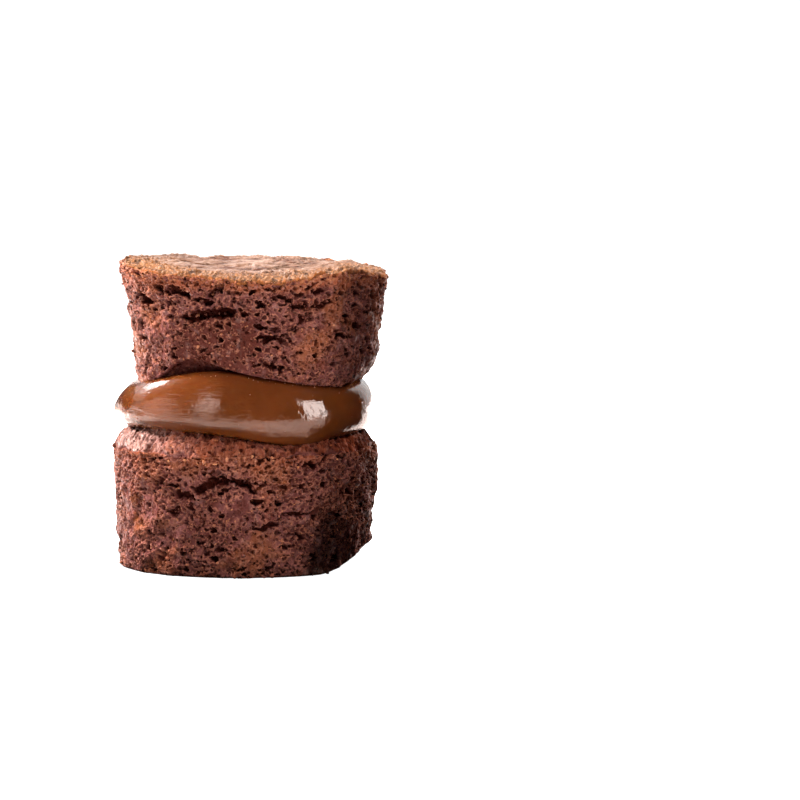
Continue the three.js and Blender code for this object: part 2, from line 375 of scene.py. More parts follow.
def crumbMaterial():
    look = crumbLook
    material, shader = newMaterial("brownie crumb")
    place = ownPlace(shader)
    lumpy = noise(place, look["lumpSize"], 3)
    fine = noise(place, look["fineSize"], 2)
    patch = noise(place, look["patchSize"], 3)
    specks = noise(place, look["speckSize"], 2)
    zone = plus(noise(place, look["zoneSize"], 3), fact(shader, "zone"), look["zoneShare"])
    warm, lip, gloss = fact(shader, "warm"), fact(shader, "lip"), fact(shader, "gloss")
    golden = times(spread(warm, 1.0, 2.0), spread(lumpy, 0.4, 0.62, 0.1, 1))
    # Painted shade in the creases between lumps where the surface is glossy.
    creviceShade = times(spread(gloss, 0.6, 1.2), spread(lumpy, 0.4, 0.52, 0.95, 0))
    # Painted highlight: pale tone on lump tops where the gloss is, in the same share as the coat.
    coatAndHighlight = times(gloss, spread(lumpy, 0.44, 0.6, 0.2, 0.65))
    # Painted shade and highlight: darker in the lumps' hollows and paler lip tone on their tops, from the
    # same noise as their bumps. The lip tone on the pores' lips is painted highlight too.
    colour = blendColour(spread(lumpy, 0.36, 0.6), look["dark"], look["mid"])
    colour = toned(colour, look, [
        (patch, (0.4, 0.7, 0, 0.6), "pale"),
        # Zone patches: tone that differs, and painted shade where a zone runs deep.
        (zone, (0.5, 0.64, 0, 0.7), "tan"),
        (zone, (0.36, 0.5, 0.6, 0), "mauve"),
        (zone, (0.24, 0.42, 0.7, 0), "dark"),
        (zone, (-0.1, 0.1, 0.7, 0), "pitShade"),
        (lumpy, (0.54, 0.7, 0, 0.6), "lip"),
        (warm, (0.2, 1.0, 0, 0.8), "warm"),
        (golden, None, "golden"),
        (lip, (0.3, 1.0, 0, 0.6), "lip"),
        (specks, (0.66, 0.74, 0, 0.7), "speck"),
        (creviceShade, None, "dark"),
        (coatAndHighlight, None, "paintedHighlight"),
    ])
    # Painted shade laid over the colour, by the piece's own share.
    colour = blendColour(fact(shader, "shadeShare"), colour, look["paintedShade"], "MULTIPLY")
    moved = wobbled(place, *look["wobble"])
    holes, pores, bowls = (cells(moved, *look[name]) for name in ("holes", "pores", "bowls"))
    # Painted shade: the hollows of pores and cut bubbles take the dark hollow tone and lose their shine.
    hollowShade = times(spread(pores, 0, 1, 0.5, 1), spread(holes, 0, 1, 0.15, 1))
    hollowShade = times(hollowShade, spread(fact(shader, "pitShade"), 0.15, 0.85, 1, 0.1))  # low in every hollow
    dull = times(spread(lumpy, 0.35, 0.65, 0.6, 0.36), spread(gloss, 0, 1, 1, 0.55))
    gleam = spread(noise(place, look["gleamSize"], 2), 0.5, 0.68, 0.03, 0.36)
    gleam = plus(gleam, times(gloss, spread(lumpy, 0.42, 0.58)), 0.9)
    setShader(shader, {
        "Base Color": blendColour(hollowShade, look["pitShade"], colour),
        "Roughness": dull,
        "Specular IOR Level": times(hollowShade, gleam),
        "Specular Tint": warmMirror,
        "Coat Weight": times(hollowShade, coatAndHighlight),
        "Coat Roughness": spread(gloss, 0.5, 1, 0.34, 0.15),
    })
    bumps(shader, (fine, pores, bowls, lumpy), look["bumps"])
    return material


crustLook = {
    "deep": tone(46, 21, 13),
    "mid": tone(86, 49, 33),
    "pale": tone(129, 99, 82),
    "golden": tone(134, 87, 54),
    "fleck": tone(170, 128, 94),
    "edge": tone(134, 76, 42),
    # The gap tone is painted shade.
    "gap": tone(48, 20, 12),
    "grainSize": 0.8, "fineSize": 0.25, "fleckSize": 0.5, "gleamSize": 1.2,
    "patch": (6.0, 4, 0.6, 0.6), "wobble": (0.8, 0.5), "pores": (0.7, 0.22, 0.44),
    "roughness": (0.6, 0.4), "gleam": (0.14, 0.72), "rimGleam": 0.2, "bumps": (0.16, 0.4),
}


def crustMaterial():
    look = crustLook
    material, shader = newMaterial("baked crust")
    place = ownPlace(shader)
    grain = noise(place, look["grainSize"], 4)
    patch = noise(place, *look["patch"])
    front, high, rim, pitShade = (fact(shader, label) for label in ("front", "high", "rim", "pitShade"))
    # Golden granules at the front: the crust's colour there, and partly painted highlight on their tops.
    golden = times(front, spread(grain, 0.4, 0.56, 0.1, 0.95))
    flecks = times(front, spread(noise(place, look["fleckSize"], 2), 0.56, 0.68, 0, 0.8))
    baked = times(spread(rim, 0.1, 0.9), spread(grain, 0.38, 0.56, 0.4, 0.95))
    # Painted shade: darker in the grain's hollows, which are also its bumps' hollows.
    colour = blendColour(spread(grain, 0.36, 0.6), look["deep"], look["mid"])
    colour = toned(colour, look, [
        (patch, (0.4, 0.7, 0, 0.6), "pale"),
        # Paler on raised flakes and deeper in the low folds: painted light and shade, with a random tone.
        (high, (0.1, 0.9, 0, 0.7), "pale"),
        (high, (-0.4, 0.35, 0.85, 0), "deep"),
        (golden, None, "golden"),
        (flecks, None, "fleck"),
        (baked, None, "edge"),
    ])
    # Painted shade in the pores near the rim, and in the gaps and hollows.
    pores = cells(wobbled(place, *look["wobble"]), *look["pores"])
    poreShade = blendColour(spread(pores, 0, 1, 0.6, 0), colour, look["gap"])
    colour = blendColour(rim, colour, poreShade)
    colour = toned(colour, look, [(pitShade, (0.1, 0.9, 0, 0.9), "gap")])
    gleam = spread(noise(place, look["gleamSize"], 3), 0.42, 0.62, *look["gleam"])
    gleam = times(gleam, spread(rim, 0, 1, 1, look["rimGleam"]))
    gleam = times(gleam, spread(pitShade, 0.1, 0.9, 1, 0))
    setShader(shader, {
        "Base Color": colour,
        "Roughness": spread(patch, 0.35, 0.65, *look["roughness"]),
        "Specular IOR Level": gleam,
        "Specular Tint": warmMirror,
    })
    rough = spread(front, 0, 1, 0.4, 1)
    fine = times(rough, noise(place, look["fineSize"], 3))
    bumps(shader, (fine, times(rough, grain)), look["bumps"])
    return material


caramelLook = {
    "deep": tone(80, 37, 10),
    "mid": tone(90, 43, 16),
    "foot": tone(40, 14, 3),
    "patchSize": 9.0,
    "streakScale": (0.35, 0.35, 2.4), "streaks": (1.3, 3, 0.5, 0.6),
    "waveSize": 1.1,
    "dents": (1.9, 0.05, 0.09), "roughness": (0.09, 0.13), "refraction": 1.48,
    "scatter": 0.5, "scatterRadius": (1.0, 0.42, 0.16), "scatterScale": 3.5,
    "mirrorTint": (1, 0.8, 0.72, 1), "coat": 0.2, "coatRoughness": 0.05, "bumps": (0.1, 0.12, 0.16),
}


def caramelMaterial():
    look = caramelLook
    material, shader = newMaterial("soft caramel")
    place = ownPlace(shader)
    patch = noise(place, look["patchSize"], 3)
    smear = fact(shader, "smear")
    colour = blendColour(spread(patch, 0.35, 0.65), look["deep"], look["mid"])
    # Painted shade at the foot, where the caramel meets the lower round.
    colour = toned(colour, look, [(fact(shader, "foot"), (0, 1, 0, 0.85), "foot")])
    setShader(shader, {
        "Base Color": colour,
        "Roughness": spread(smear, 0.2, 1, *look["roughness"]),
        "IOR": look["refraction"],
        "Subsurface Weight": look["scatter"],
        "Subsurface Radius": look["scatterRadius"],
        "Subsurface Scale": look["scatterScale"] * mm,
        "Specular Tint": look["mirrorTint"],
        "Coat Weight": look["coat"],
        "Coat Roughness": look["coatRoughness"],
    })
    drawn = node(place, "ShaderNodeMapping", place, Scale=look["streakScale"]).outputs["Vector"]
    streaks = noise(drawn, *look["streaks"])
    streaks = times(streaks, spread(smear, 0, 1, 0.1, 1))
    waves = noise(place, look["waveSize"], 2)
    bumps(shader, (waves, cells(place, *look["dents"]), streaks), look["bumps"])
    return material


looseLook = {
    "dark": tone(84, 38, 30),
    "mid": tone(128, 68, 50),
    "pale": tone(196, 124, 80),
    "dull": 0.4, "gleam": 0.4,
}


def looseMaterial():
    look = looseLook
    material, shader = newMaterial("loose crumbs")
    shade = fact(shader, "shade")
    colour = blendColour(spread(shade, 0.0, 0.6), look["dark"], look["mid"])
    colour = toned(colour, look, [(shade, (0.7, 1.3), "pale")])
    setShader(shader, {
        "Base Color": colour,
        "Roughness": look["dull"],
        "Specular IOR Level": look["gleam"],
    })
    return material


crag = {"depth": 0.5, "lump": 3.7}
crustWave = {"depth": 0.5, "lump": 6.0}
mottle = (2.0, 3, 4.4)  # size, octaves and shift of the golden mottling, which runs on from wall to crust
brokenEdge = {"drop": 0.25, "nicks": [(0.3, 2.6, 3), (0.12, 0.8, 2)]}
degreeLength = 0.42  # about a degree's length along a wall

# A swell, dip or other bell is a bearing, a width and a size.
# Waves are count, size and turn. Zones are bearing, height, reach and amount.
# Pores are warp, cell, radii, squash and share.
# Slits are bearing, height, half width, half height, depth and slant.
lower = {
    "shift": -0.4,
    "footRadius": 23.1, "rimRadius": 24.6,
    "baseHeight": 0.0, "rimHeight": 22.9, "domeHeight": 25.7,
    "wallPower": 0.8, "belly": 0.0, "flare": 0.0, "flarePower": 6,
    "shoulder": 3.4, "shoulderPower": 1.8,
    "cornerRadius": 0.6, "wornEdge": (0, 1, 0),
    "waves": [(3, 0.18, 40), (7, 0.12, 0)], "tilt": [], "humps": [],
    "swellFrom": 5, "swell": (-42, 55, 1.2), "dip": (26, 24, 1.7), "lip": (91, 8, 0.7),
    "wearStart": 14.2, "wearRate": 0.112, "wearPower": 1.74,
    "baseRings": [0, 0.4, 0.6, 0.7, 0.76, 0.82, 0.87, 0.92, 0.96, 1.0],
    "edgeSeed": 3,
    "sheets": 0.4, "pebble": 1.9, "grit": 0.35, "craters": 1.0,
    "golden": 0.2, "warmth": 0.5, "warmFoot": (0, 1, 0),
    # The gloss bells mark where the coat lies and where painted highlights go: the top's left shoulder and
    # the left side wall.
    "topGlossAndHighlights": (-62, 25, 1.3), "sideGlossAndHighlights": (-90, 20, 0.36),
    # Painted shade: the lower round's top is darker where it isn't glossy, and its right shoulder takes a
    # painted shadow.
    "paintedShade": 0.5, "paintedSideShadow": (62, 34, 0.6),
    # Lighter and darker patches of tone; the strongly dark one at the right near the foot is a painted
    # shadow.
    "toneAndShadePatches": [(15, 15, 4.0, 0.6), (-31, 14, 3.0, -0.7), (-4, 12, 5.0, -0.4), (54, 12.5, 7.0, -3.0)],
    "pores": [
        (0.8, 0.85, (0.2, 0.34), 0.9, 1.0),
        (1.0, 1.25, (0.3, 0.5), 0.8, 1.0),
        (1.3, 2.4, (0.5, 0.8), 0.7, 0.6),
        (2.0, 4.0, (0.8, 1.4), 0.5, 0.45),
    ],
    "slits": [
        (-15, 17.2, 2.6, 0.65, 1.6, 0.35),
        (-8, 18.5, 2.0, 0.65, 1.8, 0.0),
        (1, 17.3, 2.2, 0.8, 1.8, -0.35),
        (-26, 15.2, 2.2, 0.8, 1.4, -0.15),
        (-38, 17.3, 1.3, 1.0, 1.1, 0.0),
        (-52, 9.6, 0.8, 0.8, 1.3, 0.0),
        (33, 20.3, 1.0, 0.85, 1.6, 0.0),
        (10, 9.2, 1.8, 0.6, 1.2, -0.1),
        (26, 11.9, 3.4, 0.45, 1.1, 0.03),
        (-8, 5.2, 1.2, 0.5, 1.0, 0.0),
    ],
}

upper = {
    "shift": 1.5,
    "footRadius": 21.9, "rimRadius": 25.1,
    "baseHeight": 34.6, "rimHeight": 55.8, "dome": 0.5,
    "wallPower": 1, "belly": 1.8, "flare": 0.7, "flarePower": 6,
    "cornerRadius": 0.5, "wornEdge": (92, 42, 4.4),
    "waves": [(4, 0.15, 70), (9, 0.1, 0)], "tilt": [(1, 0.85, -90), (1, 0.5, 0)],
    "humps": [(46, 20, 1.5), (142, 34, 0.9), (-92, 42, 1.0)], "lip": (0, 1, 0),
    "scoop": (-32, 18, 3.2), "scoopFrom": 0.82,
    "baseRings": [0, 0.5, 0.7, 0.8, 0.86, 0.9, 0.93, 0.96, 1.0],
    "edgeSeed": 5,
    "sheets": 1.0, "pebble": 0.8, "grit": 0.34, "craters": 0.5,
    "golden": 1.0, "warmth": 0.8, "warmFoot": (-76, 12, 1.6),
    # Coat and painted highlights on the left side wall.
    "topGlossAndHighlights": (0, 1, 0), "sideGlossAndHighlights": (-84, 20, 0.3),
    "paintedShade": 0.0, "paintedSideShadow": (0, 1, 0),
    # Lighter and darker patches of tone; the dark one low on the front left is painted shade.
    "toneAndShadePatches": [(-20, 41, 8.0, -2.0), (27, 44, 6.0, 0.4), (0, 47, 6.0, -0.9)],
    "pores": [
        (0.8, 0.95, (0.2, 0.36), 0.9, 0.9),
        (1.1, 1.45, (0.34, 0.6), 0.75, 1.0),
        (1.3, 2.6, (0.6, 1.0), 0.62, 0.7),
        (2.0, 4.0, (0.9, 1.5), 0.5, 0.4),
    ],
    "slits": [
        (-59, 51.0, 2.6, 1.2, 2.4, -0.15),
        (-44, 53.4, 1.4, 0.75, 1.6, 0.1),
        (-33, 52.7, 2.0, 0.95, 1.7, -0.1),
        (-23, 48.4, 2.6, 1.1, 2.4, 0.1),
        (-13, 49.1, 2.6, 1.15, 2.6, 0.05),
        (-17, 52.7, 1.2, 0.6, 1.5, 0.0),
        (-20, 51.2, 1.2, 0.6, 1.5, 0.0),
        (9, 44.4, 2.3, 0.6, 1.5, -0.05),
        (5, 46.9, 1.4, 0.5, 1.2, -0.35),
        (24, 47.6, 1.4, 0.5, 1.1, 0.5),
        (22, 50.3, 2.0, 0.5, 1.2, 0.05),
        (34, 50.4, 2.2, 0.5, 1.2, 0.0),
        (67, 51.4, 1.6, 1.1, 1.4, 0.0),
    ],
}

caramel = {
    "radius": 24.2, "waist": 29.6,
    "lowerContact": 19.9, "upperContact": 19.9, "overlap": 0.5,
    "waves": [(2, 0.25, 50), (5, 0.15, 0)], "waistWaves": [(1, 0.6, -90)],
    "rise": (-13, 37, 3.1), "backRise": (150, 42, 1.6), "riseFrom": 12,
    "sag": (22, 28, 0.6), "sagOut": 0.8, "sagDown": 0.7,
    "tip": (-90, 7, 0.8), "tipPower": 6,
    "taper": (-85, 60, 0.3), "blunt": (92, 40, 0.3),
    "columns": 540, "steps": 100,
    "floorRings": [0, 12, 18], "ceilingRings": [17, 10, 0],
    "skin": [(0.09, 8.0, 2, 2.2), (0.015, 2.0, 2, 7.7)],
    "smears": (6.0, 2, 5.1), "smearBand": (-0.2, 0.5),
    "clean": (38, 16, 0.7), "smeared": (-22, 14, 1), "contactShadeTurns": (0.8, 1.3),
    "bulgeRows": slice(30, 92),
}


def cornerOf(cake, bearing):  # the base corner's radius, rounder where the edge is worn
    return cake["cornerRadius"] + bell(bearing, cake["wornEdge"])


def rimOf(cake, bearing):  # the rim's radius, its waves and its lip
    return rippled(bearing, cake["rimRadius"], cake["waves"]) + bell(bearing, cake["lip"])


def rimLevel(cake, bearing):  # the rim's height, less the tilt, and its humps
    humps = sum(bell(bearing, hump) for hump in cake["humps"])
    return cake["rimHeight"] - rippled(bearing, 0, cake["tilt"]) + humps


def wallOf(cake, bearing, height):
    # From the foot to the rim by the climbed share to a power, with a belly at the right and a flare on top.
    climbed = np.clip((height - cake["baseHeight"]) / (cake["rimHeight"] - cake["baseHeight"]), 0, 1)
    belly = cake["belly"] * np.sin(np.radians(bearing)) * climbed * (1 - climbed)
    straight = mix(cake["footRadius"], rimOf(cake, bearing) - cake["flare"], climbed ** cake["wallPower"])
    return straight + belly + cake["flare"] * climbed ** cake["flarePower"]


def lowerBase(radius, bearing):  # nothing up to the wear's start, then rate times the way past it to a power
    past = np.maximum(0, radius * np.sin(np.radians(bearing)) - lower["wearStart"])
    return lower["wearRate"] * past ** lower["wearPower"]


def lowerTop(radius, bearing):  # a flat dome that falls off over the shoulder, by the share to a power
    inner = lower["rimRadius"] - lower["shoulder"]
    drop = np.clip((radius - inner) / lower["shoulder"], 0, 1)
    swell = bell(bearing, lower["swell"]) - bell(bearing, lower["dip"])
    edgeOnly = smooth(radius, lower["swellFrom"], inner) * (1 - drop)
    return mix(lower["domeHeight"], lower["rimHeight"], drop ** lower["shoulderPower"]) + swell * edgeOnly


def underside(radius, bearing):  # the upper round's base, lifted at its edge where the caramel rises
    rise = bell(bearing, caramel["rise"]) + bell(bearing, caramel["backRise"])
    return upper["baseHeight"] + rise * smooth(radius, caramel["riseFrom"], caramel["upperContact"])


def upperBase(radius, bearing):  # the underside, with the hollow broken out of its edge
    share = radius / (upper["footRadius"] - cornerOf(upper, bearing))
    return underside(radius, bearing) + bell(bearing, upper["scoop"]) * smooth(share, upper["scoopFrom"], 1)


def upperTop(radius, bearing):  # the rim's height carried in by the share squared, and a low dome
    share = radius / rimOf(upper, bearing)
    return mix(upper["rimHeight"], rimLevel(upper, bearing), share**2) + upper["dome"] * (1 - share**4)


lower.update(base=lowerBase, top=lowerTop)
upper.update(base=upperBase, top=upperTop)

poreSheet = {
    "radius": 25.0,
    "across": [(0.32, 1.7, 2, 3.1), (0.2, 0.6, 2, 5.7)],
    "upwards": [(0.26, 1.7, 2, 9.4), (0.2, 0.6, 2, 8.2)],
    "slitWobble": (2.4, 2.2),
    "usual": 0.55, "underCrust": 0.55, "crustBand": (9, 4),
    "patches": (0.5, 6.0, 2), "lipFade": 0.2,
}


def crumbCut(bearing, height, radius, place, cake, seed):
    # The wall's pores: small, middling and large bubbles, crowded under the crust, and the slits.
    # Gives the depth of the cut, and how near a pore's lip is.
    look = poreSheet
    length = 2 * math.pi * look["radius"]
    bandLow, bandHigh = (cake["rimHeight"] - way for way in look["crustBand"])
    u = bearing / 360 * length
    warpU, warpV = layered(place, look["across"]), layered(place, look["upwards"])
    slitU, slitV = look["slitWobble"]

    def crowd(atU, atV):  # the usual share, more near the crust, and more or less in patches
        spot = around(look["radius"], atU / length * 360, atV)
        base = look["usual"] + look["underCrust"] * smooth(atV, bandLow, bandHigh)
        return layered(spot, [(*look["patches"], seed)], base)

    layers = [
        bubbles(u + warpU * k, height + warpV * k, length, *pores, crowd, seed + n)
        for n, (k, *pores) in enumerate(cake["pores"])
    ]
    named = slits(bearing, height, radius, warpU * slitU, warpV * slitV, cake["slits"])
    depth = np.maximum.reduce([named] + [cut for cut, lip in layers])
    lips = np.maximum.reduce([lip for cut, lip in layers])
    return depth, lips * (1 - smooth(depth, 0.0, look["lipFade"]))


# Patches of tone, some of them painted shade.
def toneAndShadePatches(bearing, height, cake):  # patches: amount times e to the minus (way off / reach) squared
    total = 0 * bearing * height
    for centre, level, reach, amount in cake["toneAndShadePatches"]:
        away = turnFrom(bearing, centre) * degreeLength
        total = total + amount * np.exp(-((away**2 + (height - level) ** 2) / reach**2))
    return total


def bearings(columns, closer=0.35):  # once round, set closer at the front than at the back
    turn = np.arange(columns) * 2 * math.pi / columns
    return np.degrees(turn - closer * np.sin(turn))[None, :]


def edgeDrop(radius, bearing, seed):  # how far the broken rim lies under the whole one
    nicks = [(*nick, seed) for nick in brokenEdge["nicks"]]
    return layered(around(radius, bearing, 0.0), nicks, brokenEdge["drop"])


def ringwise(values):  # a list as one number for each ring
    return np.array(values)[:, None]


def padded(values, before, after):  # facts with rings of nothing before and after them
    return {label: np.pad(value, ((before, after), (0, 0))) for label, value in values.items()}


wallShape = {
    "columns": 640, "steps": 136,
    "rough": [(0.18, 1.7, 2), (0.1, 0.75, 2)],
    "lipHeight": 0.12, "bareFrom": 1.0,
    "tuck": [0.35, 0.8, 1.4, 2.2], "tuckDrop": 0.5, "tuckSlope": 0.7,
    "lid": [20, 10, 0], "lidDrop": 1.8,
    "warmBand": 6, "goldenBand": 3, "footBand": (0.5, 3.5),
    "mottling": 0.45, "zoneWarmth": 0.5, "basePit": 0.6,
}


def wallWarmth(height, place, cake):  # golden towards the rim, and mottled
    top = cake["rimHeight"]
    underRim = smooth(height, top - wallShape["warmBand"], top)
    return cake["warmth"] * underRim + wallShape["mottling"] * clouds(place, *mottle)


def crumbSkin(name, cake, material, solid, seed):
    # Rings: out over the base, round its corner and up the wall by even steps, and in under the crust to a
    # lid. The relief and the pores push a point along the corner's or the wall's own normal.
    look = wallShape
    bearing = bearings(look["columns"])
    corner = cornerOf(cake, bearing)
    base = ringwise(cake["baseRings"]) * (cake["footRadius"] - corner)
    baseHeight = cake["base"](base, bearing)
    start = baseHeight[-1:]
    drop = edgeDrop(rimOf(cake, bearing), bearing, cake["edgeSeed"])
    rimAt = rimLevel(cake, bearing) - drop
    arc = corner * math.pi / 2
    along = np.linspace(0, 1, look["steps"])[1:, None] * (arc + rimAt - start - corner)
    turn = np.clip(along / corner, 0, math.pi / 2)
    sideHeight = start + corner * (1 - np.cos(turn)) + np.maximum(along - arc, 0)
    sideRadius = wallOf(cake, bearing, sideHeight) - corner * (1 - np.sin(turn))
    unrolled = start + corner - arc + along
    place = around(sideRadius, bearing, sideHeight)
    cut, lips = crumbCut(bearing + 0 * along, unrolled, cake["footRadius"], place, cake, seed)
    coarse, fine = look["rough"]
    rough = layered(place, [(*coarse, seed / 7), (*fine, seed / 5)])
    bare = smooth(along, 0.0, look["bareFrom"])
    push = bare * (relief(place, **crag) + rough + look["lipHeight"] * lips - cut)
    inward = ringwise(look["tuck"])
    tuckRadius = (sideRadius + push)[-1:] - inward
    tuckHeight = cake["top"](tuckRadius, bearing) - drop - look["tuckDrop"] - look["tuckSlope"] * inward
    lidRadius = ringwise(look["lid"]) + 0 * bearing
    lidHeight = cake["top"](lidRadius, bearing) - look["lidDrop"]
    radius = np.vstack([base, sideRadius + push * np.sin(turn), tuckRadius, lidRadius])
    height = np.vstack([baseHeight, sideHeight - push * np.cos(turn), tuckHeight, lidHeight])
    points = around(radius, bearing, height)
    points[..., 0] += cake["shift"]
    under, hidden = len(base), len(tuckRadius) + len(lidRadius)
    zone = toneAndShadePatches(bearing, sideHeight, cake)
    warm = wallWarmth(sideHeight, place, cake) + look["zoneWarmth"] * zone
    warm = warm + cake["golden"] * smooth(sideHeight - rimAt, -look["goldenBand"], 0)
    warm = warm + bell(bearing, cake["warmFoot"]) * (1 - smooth(along, *look["footBand"]))
    # Gloss: where the coat lies and painted highlights go, on the left of the wall.
    gloss = 0 * zone + bell(bearing, cake["sideGlossAndHighlights"])
    values = {"lip": bare * lips, "warm": warm, "zone": zone, "gloss": gloss, "pitShade": bare * cut}
    facts = padded(values, under, hidden)
    # The base takes this share of the hollow tone, so it is darker all over.
    facts["pitShade"][:under] = look["basePit"]
    turnedSkin(name, points, facts, material, solid)
    return points[under:-hidden]


# Bands are how far in from the rim they start and end.
# Torn sheets are size, octaves, shift, and where an edge starts and ends. Folds are size, octaves and shift.
crustShape = {
    "columns": 720,
    "hidden": [0, 0.6, 0.9], "hiddenInset": 1.2, "hiddenDrop": 1.3,
    "lipInset": [0.9, 0.45, 0.25], "lipDrop": [0.5, 0.3, 0.1],
    "rags": [(0.2, 1.1, 3), (0.15, 0.7, 1)], "ragReach": 2,
    "outerRings": (0.3, 9, 46), "lastRing": 24.4,
    "rimBand": 1.6, "poreBand": (5, 9), "frontBand": (4, 13), "frontDepth": 14,
    "torn": [(7.0, 2, 4, -0.04, 0.1), (3.4, 3, 5, 0.15, 0.3)],
    "folds": [(6.0, 2, 6), (3.0, 1, 8)],
    "drawnOut": (0.5, 1, 1),
    "flakeHeights": (0.35, 0.15, 0.35, 0.16), "flakeTones": (0.3, 0.2, 0.5, 0.4),
    "toneClouds": (0.3, 1.2, 3), "innerGrit": 0.35,
    "quietMiddle": (2, 9, 0.2), "quietSheet": (9, 21, 0.6),
    "rimGrit": 0.7, "pebbles": 1.6, "grains": (0.5, 0.9, 2),
    "craterDepth": 0.9, "sheetCover": 0.65,
    "cellSize": 6.5, "cellWobble": (0.9, 2.0, 3),
    "gapWidth": 0.25, "gapDepth": 0.4, "gapClouds": (5.0, 2), "gapBand": (0.0, 0.5), "gritGapShade": 0.2,
    "sheetDrop": 0.45, "edgeHold": (0.85, 0.96, 0.6),
    "warmth": 0.7, "mottling": 0.6,
}


def flakeLayers(place, seed):  # torn sheets, from 0 to 1 over their edges, and folds drawn out in x
    look = crustShape
    drawn = place * look["drawnOut"]
    torn = [
        smooth(clouds(place, size, octaves, seed + shift), edgeFrom, edgeTo)
        for size, octaves, shift, edgeFrom, edgeTo in look["torn"]
    ]
    return torn + [ridges(drawn, size, octaves, seed + shift) for size, octaves, shift in look["folds"]]


def weighed(layers, weights):  # each layer times its weight, added up
    return sum(weight * layer for weight, layer in zip(weights, layers))


def quiet(radius, sheets):  # how much grit a place has: less in the middle, and less where sheets lie over it
    sheetFrom, sheetTo, sheetShare = crustShape["quietSheet"]
    middleFrom, middleTo, middleShare = crustShape["quietMiddle"]
    outer = mix(1, smooth(radius, sheetFrom, sheetTo), sheetShare * sheets)
    return outer * mix(middleShare, 1, smooth(radius, middleFrom, middleTo))


def crustRelief(radius, bearing, edge, drop, cake, seed):
    # The baked surface: the top and its waves, with flakes and grit on it, less the gaps between its plates,
    # the pores and the drop at the broken rim. Gives its height and its facts.
    look = crustShape
    top, sheets = cake["top"](radius, bearing), cake["sheets"]
    place = around(radius, bearing, top)
    inside = edge - radius
    rimmed = 1 - smooth(inside, 0.0, look["rimBand"])
    ring = 1 - smooth(inside, *look["poreBand"])
    front = (1 - smooth(inside, *look["frontBand"])) * smooth(-place[..., 1], -look["frontDepth"], 0)
    layers = flakeLayers(place, seed)
    flakes = sheets * weighed(layers, look["flakeHeights"])
    # The high fact: paler on raised flakes and deeper in the folds, painted light and shade, with a random
    # cloud of tone.
    high = layered(place, [(*look["toneClouds"], seed + 9)], weighed(layers, look["flakeTones"]))
    pebbles = np.abs(clouds(place, cake["pebble"], 3, seed + 2))
    gravel = layered(place, [(*look["grains"], seed + 7)], look["pebbles"] * pebbles)
    grit = cake["grit"] * mix(look["innerGrit"], 1, front) * quiet(radius, sheets) * gravel
    grit = grit * mix(1, look["rimGrit"], rimmed)
    unrolled = cake["rimHeight"] + inside
    cut, lips = crumbCut(bearing + 0 * radius, unrolled, poreSheet["radius"], place, cake, seed)
    deepest = look["craterDepth"]
    uncovered = mix(1 - look["sheetCover"] * sheets, 1, front)
    cut = cake["craters"] * ring * uncovered * deepest * (1 - np.exp(-cut / deepest))
    moved = place + layered(place, [(*look["cellWobble"], seed + 1)])[..., None]
    border = cracks(moved, look["cellSize"], seed)
    torn = smooth(clouds(place, *look["gapClouds"], seed + 3), *look["gapBand"])
    gap = sheets * np.exp(-((border / look["gapWidth"]) ** 2)) * torn
    holdFrom, holdTo, held = look["edgeHold"]
    waves = relief(place, **crustWave) * mix(1, held, smooth(radius / edge, holdFrom, holdTo))
    surface = top - look["sheetDrop"] * sheets + waves
    surface = surface + flakes + grit - drop * rimmed**2 - look["gapDepth"] * gap - cut
    # Painted shade in the gaps between the grit's pebbles.
    gritGapShade = 2 * cake["grit"] * (1 - smooth(pebbles, 0.0, look["gritGapShade"]))
    # Gloss: where the coat lies and painted highlights go, on the top's left shoulder.
    gloss = 0 * radius + bell(bearing, cake["topGlossAndHighlights"])
    # Painted shade: darker on the top away from the gloss, and a painted shadow on the right shoulder.
    shadeShare = cake["paintedShade"] * (1 - np.minimum(gloss, 1)) + bell(bearing, cake["paintedSideShadow"])
    return surface, {
        "pitShade": np.maximum(gap + gritGapShade, cut),
        "lip": ring * lips,
        "high": sheets * high,
        "rim": rimmed,
        "front": front,
        "warm": look["warmth"] + look["mottling"] * clouds(place, *mottle),
        "gloss": gloss,
        "shadeShare": np.minimum(shadeShare, 1),
    }


def crustSkin(name, cake, innerStep, material, solid, seed):
    # A thin shell: out along its hidden underside, round a ragged edge, and in over the baked surface.
    look = crustShape
    bearing = bearings(look["columns"])
    top = cake["top"]
    edge = rimOf(cake, bearing)
    drop = edgeDrop(edge, bearing, cake["edgeSeed"])
    under = ringwise(look["hidden"]) * (edge - look["hiddenInset"])
    underHeight = top(under, bearing) - look["hiddenDrop"]
    brim = around(edge, bearing, top(edge, bearing))
    lipEdge = layered(brim, [(*rag, seed) for rag in look["rags"]], edge + relief(brim, **crag))
    lipRadius = lipEdge - ringwise(look["lipInset"])
    lipHeight = top(edge, bearing) - drop - ringwise(look["lipDrop"])
    near = np.linspace(*look["outerRings"])
    inward = ringwise(np.concatenate([near, np.arange(near[-1] + innerStep, look["lastRing"], innerStep)]))
    ragged = mix(lipEdge, edge, np.clip(inward / look["ragReach"], 0, 1))
    radius = np.vstack([ragged - inward, 0 * bearing])
    surface, values = crustRelief(radius, bearing, edge, drop, cake, seed)
    allHeight = np.vstack([underHeight, lipHeight, surface])
    points = around(np.vstack([under, lipRadius, radius]), bearing, allHeight)
    points[..., 0] += cake["shift"]
    points[-1] = points[-1, :1]
    hidden, outer = len(under), len(under) + len(lipRadius)
    facts = padded(values, outer, 0)
    for label in ("rim", "front"):
        facts[label][hidden:outer] = 1
    turnedSkin(name, points, facts, material, solid)


